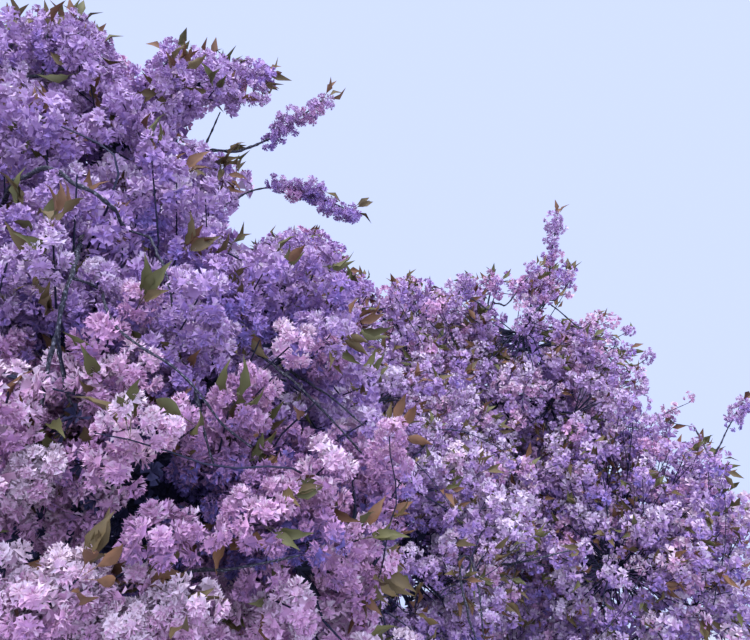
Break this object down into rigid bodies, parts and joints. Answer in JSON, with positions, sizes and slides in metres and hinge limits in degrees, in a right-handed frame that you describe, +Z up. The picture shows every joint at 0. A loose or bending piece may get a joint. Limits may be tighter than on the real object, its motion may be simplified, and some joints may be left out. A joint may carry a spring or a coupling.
{
  "type": "flowering cherry tree",
  "caption": "Broad double-flowered cherry tree in full pink bloom: short leaning trunk with a root flare, spreading boughs in tiers, and a rounded crown of separate blossom masses.",
  "frame": {"origin": "middle of the flat cut under the trunk, at ground level", "axes": "+Z up the trunk; +X and +Y level, with the crown's hollow bay at 40 degrees from +X towards -Y"},
  "size_m": [8.2194, 8.3456, 5.5462],
  "materials": {
    "bark": "rough grey-brown cherry bark with horizontal lenticels",
    "blossom": "matt petals in orchid pink with young bronze-green leaves"
  },
  "bodies": {
    "root": {"trunk": "bark", "top_bough": "bark", "upper_bough_1": "bark", "upper_bough_2": "bark", "upper_bough_3": "bark", "upper_bough_4": "bark", "upper_bough_5": "bark", "shoulder_bough_1": "bark", "shoulder_bough_2": "bark", "shoulder_bough_3": "bark", "shoulder_bough_4": "bark", "shoulder_bough_5": "bark", "shoulder_bough_6": "bark", "shoulder_bough_7": "bark", "shoulder_bough_8": "bark", "skirt_bough_1": "bark", "skirt_bough_2": "bark", "skirt_bough_3": "bark", "skirt_bough_4": "bark", "skirt_bough_5": "bark", "skirt_bough_6": "bark", "skirt_bough_7": "bark", "skirt_bough_8": "bark", "skirt_bough_9": "bark", "top_blossom": "blossom", "upper_blossom_1": "blossom", "upper_blossom_2": "blossom", "upper_blossom_3": "blossom", "upper_blossom_4": "blossom", "upper_blossom_5": "blossom", "shoulder_blossom_1": "blossom", "shoulder_blossom_2": "blossom", "shoulder_blossom_3": "blossom", "shoulder_blossom_4": "blossom", "shoulder_blossom_5": "blossom", "shoulder_blossom_6": "blossom", "shoulder_blossom_7": "blossom", "shoulder_blossom_8": "blossom", "skirt_blossom_1": "blossom", "skirt_blossom_2": "blossom", "skirt_blossom_3": "blossom", "skirt_blossom_4": "blossom", "skirt_blossom_5": "blossom", "skirt_blossom_6": "blossom", "skirt_blossom_7": "blossom", "skirt_blossom_8": "blossom", "skirt_blossom_9": "blossom"}
  },
  "joints": []
}
